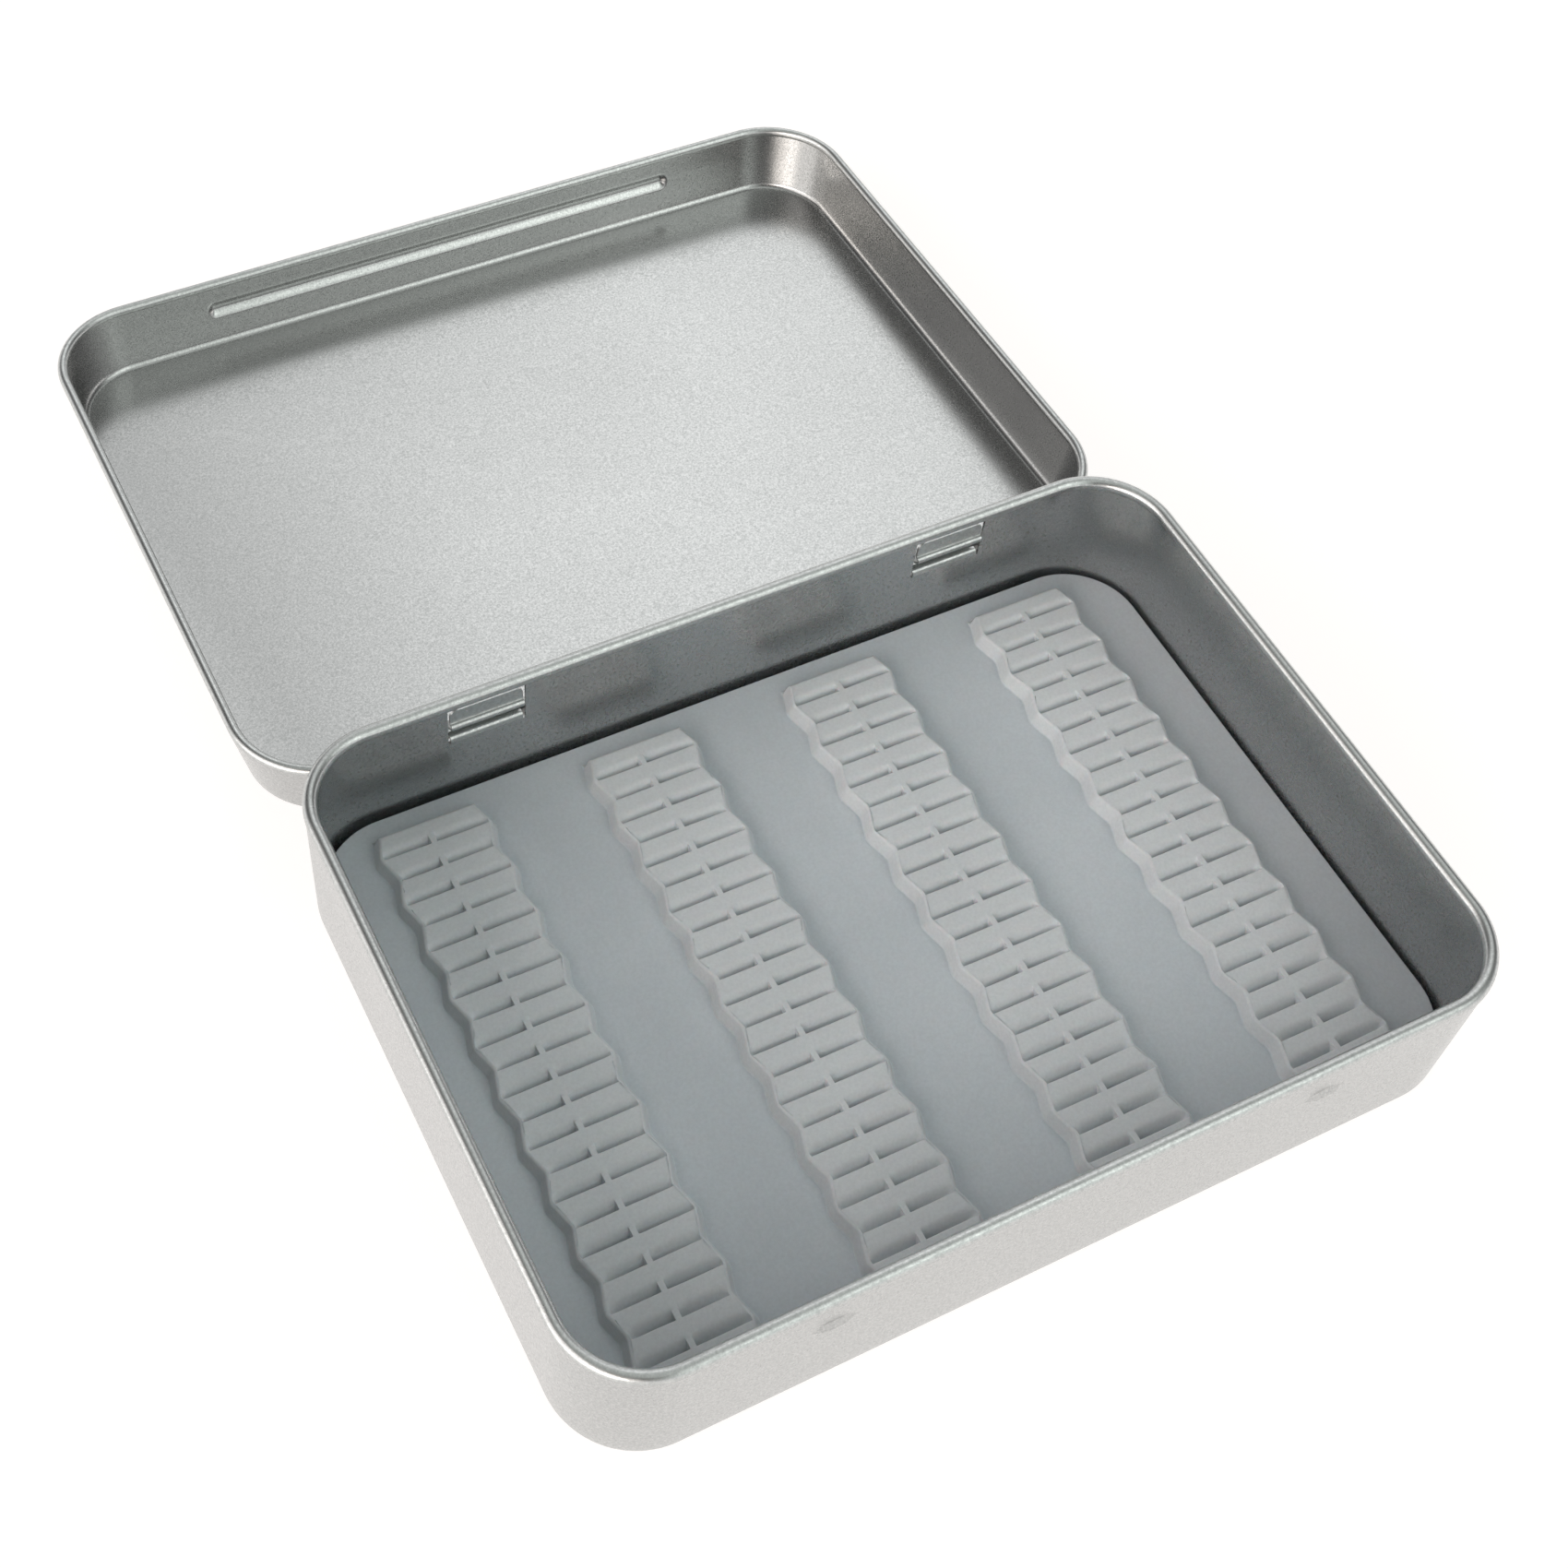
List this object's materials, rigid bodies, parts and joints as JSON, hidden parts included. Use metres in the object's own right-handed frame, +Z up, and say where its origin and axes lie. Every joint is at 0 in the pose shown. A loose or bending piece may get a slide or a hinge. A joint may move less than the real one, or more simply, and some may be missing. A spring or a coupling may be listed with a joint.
{
  "type": "hinged fly box",
  "caption": "Shallow rounded-corner pressed-metal tin with a rear-hinged lid that folds right back, and a soft mat of slit ridges in its base for holding fishing flies.",
  "frame": {"origin": "middle of the base's flat underside, which is the table plane", "axes": "+X along the long sides, +Y from the front wall to the hinge wall and the open lid, +Z up"},
  "size_m": [0.115, 0.1671, 0.022],
  "materials": {
    "base_tin": "satin tinplate with a fine grain",
    "lid_tin": "satin tinplate with a fine grain",
    "wire": "drawn wire",
    "pad_foam": "matte foam",
    "mat_rubber": "matte",
    "strip_rubber": "matte"
  },
  "bodies": {
    "base": {"base_shell": "base_tin", "adhesive_pad": "pad_foam", "mat": "mat_rubber", "strip_1": "strip_rubber", "strip_2": "strip_rubber", "strip_3": "strip_rubber", "strip_4": "strip_rubber"},
    "lid": {"lid_shell": "lid_tin", "hinge_wire": "wire"}
  },
  "joints": [
    {"name": "lid_hinge", "type": "hinge", "parent": "base", "child": "lid", "pos_m": [0, 0.04185, 0.01325], "axis": [1, 0, 0], "range_deg": [0, 182.87]}
  ]
}
